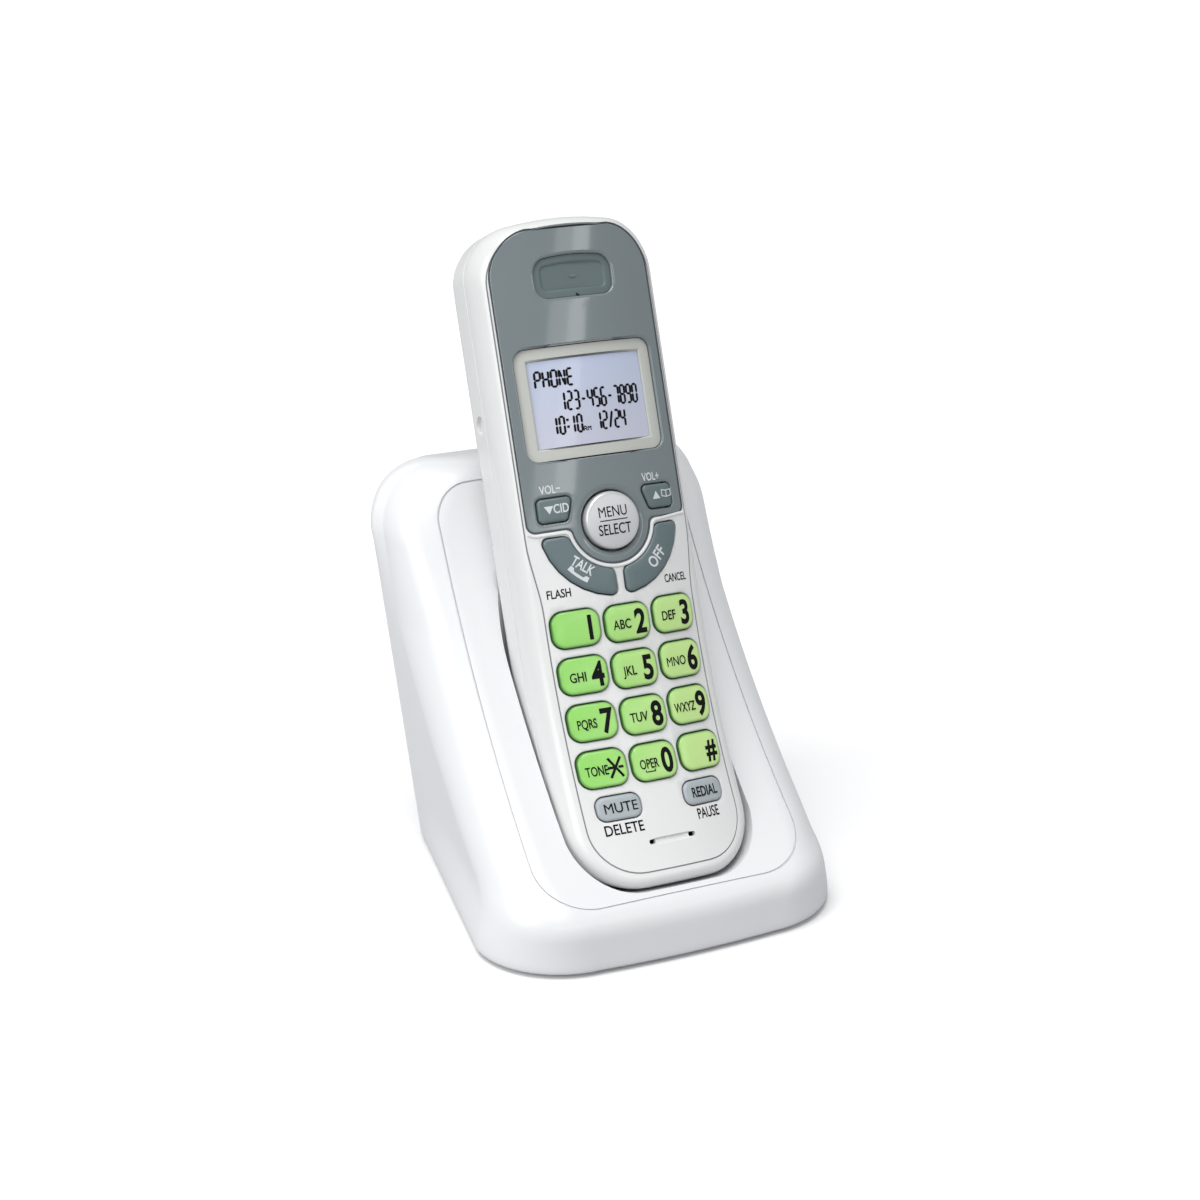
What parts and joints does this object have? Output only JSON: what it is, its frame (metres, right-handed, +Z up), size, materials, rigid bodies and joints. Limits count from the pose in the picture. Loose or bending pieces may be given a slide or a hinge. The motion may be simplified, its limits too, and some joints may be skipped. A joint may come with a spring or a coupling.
{
  "type": "cordless phone",
  "caption": "Cordless telephone handset with a display and a key pad, leaning back in a wedge-shaped charging base it lifts out of.",
  "frame": {"origin": "centre of the whole phone's outline on the surface it stands on", "axes": "+Z up, -Y the front that the keys face, +X to the right of someone facing the keys"},
  "size_m": [0.093, 0.1027, 0.1618],
  "materials": {
    "white_gloss": "smooth glossy white",
    "plate_grey": "glossy grey",
    "bezel_grey": "satin warm grey",
    "display_blue": "pale blue display",
    "green_key": "translucent green",
    "slate_key": "satin slate",
    "blue_grey_key": "satin blue grey",
    "silver": "satin silver plating",
    "ear_grey": "dark grey",
    "black": "black",
    "rubber": "matt black",
    "membrane": "matt translucent",
    "board_green": "solder mask",
    "nickel": "nickel plate",
    "cell_wrap": "printed wrap"
  },
  "bodies": {
    "base": {"base_housing": "white_gloss", "cradle_panel": "white_gloss", "base_plate": "white_gloss", "base_board": "board_green", "line_jack": "black", "power_jack": "black", "foot_1": "rubber", "foot_2": "rubber", "foot_3": "rubber", "foot_4": "rubber"},
    "handset": {"handset_front_shell": "white_gloss", "handset_rear_shell": "white_gloss", "faceplate": "plate_grey", "lcd_bezel": "bezel_grey", "lcd_module": "display_blue", "earpiece_cover": "ear_grey", "earpiece_speaker": "black", "keypad_membrane": "membrane", "handset_board": "board_green", "microphone": "black", "ringer": "black", "battery_1": "cell_wrap", "battery_2": "cell_wrap", "battery_contact_1": "nickel", "battery_contact_2": "nickel", "charge_contact_1": "nickel", "charge_contact_2": "nickel"},
    "battery_door": {"battery_door": "white_gloss"},
    "find_handset_key": {"find_handset_key": "blue_grey_key"},
    "charge_pin_1": {"charge_pin_1": "nickel"},
    "charge_pin_2": {"charge_pin_2": "nickel"},
    "key_1": {"key_1": "green_key"},
    "key_2": {"key_2": "green_key"},
    "key_3": {"key_3": "green_key"},
    "key_4": {"key_4": "green_key"},
    "key_5": {"key_5": "green_key"},
    "key_6": {"key_6": "green_key"},
    "key_7": {"key_7": "green_key"},
    "key_8": {"key_8": "green_key"},
    "key_9": {"key_9": "green_key"},
    "key_star": {"key_star": "green_key"},
    "key_0": {"key_0": "green_key"},
    "key_hash": {"key_hash": "green_key"},
    "talk_key": {"talk_key": "slate_key"},
    "off_key": {"off_key": "slate_key"},
    "menu_key": {"menu_key": "silver"},
    "volume_down_key": {"volume_down_key": "slate_key"},
    "volume_up_key": {"volume_up_key": "slate_key"},
    "mute_key": {"mute_key": "blue_grey_key"},
    "redial_key": {"redial_key": "blue_grey_key"}
  },
  "joints": [
    {"name": "handset_lift", "type": "slide", "parent": "base", "child": "handset", "axis": [0, 0.3665, 0.9304], "range_m": [0, 0.115]},
    {"name": "key_1_press", "type": "slide", "parent": "handset", "child": "key_1", "axis": [0, 0.9304, -0.3665], "range_m": [0, 0.0008], "stiffness_N_per_m": 300, "springref_m": -0.001},
    {"name": "key_2_press", "type": "slide", "parent": "handset", "child": "key_2", "axis": [0, 0.9304, -0.3665], "range_m": [0, 0.0008], "stiffness_N_per_m": 300, "springref_m": -0.001},
    {"name": "key_3_press", "type": "slide", "parent": "handset", "child": "key_3", "axis": [0, 0.9304, -0.3665], "range_m": [0, 0.0008], "stiffness_N_per_m": 300, "springref_m": -0.001},
    {"name": "key_4_press", "type": "slide", "parent": "handset", "child": "key_4", "axis": [0, 0.9304, -0.3665], "range_m": [0, 0.0008], "stiffness_N_per_m": 300, "springref_m": -0.001},
    {"name": "key_5_press", "type": "slide", "parent": "handset", "child": "key_5", "axis": [0, 0.9304, -0.3665], "range_m": [0, 0.0008], "stiffness_N_per_m": 300, "springref_m": -0.001},
    {"name": "key_6_press", "type": "slide", "parent": "handset", "child": "key_6", "axis": [0, 0.9304, -0.3665], "range_m": [0, 0.0008], "stiffness_N_per_m": 300, "springref_m": -0.001},
    {"name": "key_7_press", "type": "slide", "parent": "handset", "child": "key_7", "axis": [0, 0.9304, -0.3665], "range_m": [0, 0.0008], "stiffness_N_per_m": 300, "springref_m": -0.001},
    {"name": "key_8_press", "type": "slide", "parent": "handset", "child": "key_8", "axis": [0, 0.9304, -0.3665], "range_m": [0, 0.0008], "stiffness_N_per_m": 300, "springref_m": -0.001},
    {"name": "key_9_press", "type": "slide", "parent": "handset", "child": "key_9", "axis": [0, 0.9304, -0.3665], "range_m": [0, 0.0008], "stiffness_N_per_m": 300, "springref_m": -0.001},
    {"name": "key_star_press", "type": "slide", "parent": "handset", "child": "key_star", "axis": [0, 0.9304, -0.3665], "range_m": [0, 0.0008], "stiffness_N_per_m": 300, "springref_m": -0.001},
    {"name": "key_0_press", "type": "slide", "parent": "handset", "child": "key_0", "axis": [0, 0.9304, -0.3665], "range_m": [0, 0.0008], "stiffness_N_per_m": 300, "springref_m": -0.001},
    {"name": "key_hash_press", "type": "slide", "parent": "handset", "child": "key_hash", "axis": [0, 0.9304, -0.3665], "range_m": [0, 0.0008], "stiffness_N_per_m": 300, "springref_m": -0.001},
    {"name": "talk_key_press", "type": "slide", "parent": "handset", "child": "talk_key", "axis": [0, 0.9304, -0.3665], "range_m": [0, 0.0008], "stiffness_N_per_m": 300, "springref_m": -0.001},
    {"name": "off_key_press", "type": "slide", "parent": "handset", "child": "off_key", "axis": [0, 0.9304, -0.3665], "range_m": [0, 0.0008], "stiffness_N_per_m": 300, "springref_m": -0.001},
    {"name": "menu_key_press", "type": "slide", "parent": "handset", "child": "menu_key", "axis": [0, 0.9304, -0.3665], "range_m": [0, 0.0008], "stiffness_N_per_m": 300, "springref_m": -0.001},
    {"name": "volume_down_key_press", "type": "slide", "parent": "handset", "child": "volume_down_key", "axis": [0, 0.9304, -0.3665], "range_m": [0, 0.0008], "stiffness_N_per_m": 300, "springref_m": -0.001},
    {"name": "volume_up_key_press", "type": "slide", "parent": "handset", "child": "volume_up_key", "axis": [0, 0.9304, -0.3665], "range_m": [0, 0.0008], "stiffness_N_per_m": 300, "springref_m": -0.001},
    {"name": "mute_key_press", "type": "slide", "parent": "handset", "child": "mute_key", "axis": [0, 0.9304, -0.3665], "range_m": [0, 0.0008], "stiffness_N_per_m": 300, "springref_m": -0.001},
    {"name": "redial_key_press", "type": "slide", "parent": "handset", "child": "redial_key", "axis": [0, 0.9304, -0.3665], "range_m": [0, 0.0008], "stiffness_N_per_m": 300, "springref_m": -0.001},
    {"name": "find_handset_key_press", "type": "slide", "parent": "base", "child": "find_handset_key", "axis": [0, 0.7279, -0.6857], "range_m": [0, 0.0008], "stiffness_N_per_m": 300, "springref_m": -0.001},
    {"name": "charge_pin_1_press", "type": "slide", "parent": "base", "child": "charge_pin_1", "axis": [0, 0.3665, 0.9304], "range_m": [-0.001, 0], "stiffness_N_per_m": 200, "springref_m": 0.001},
    {"name": "charge_pin_2_press", "type": "slide", "parent": "base", "child": "charge_pin_2", "axis": [0, 0.3665, 0.9304], "range_m": [-0.001, 0], "stiffness_N_per_m": 200, "springref_m": 0.001},
    {"name": "battery_door_slide", "type": "slide", "parent": "handset", "child": "battery_door", "axis": [0, -0.3665, -0.9304], "range_m": [0, 0.006]}
  ]
}
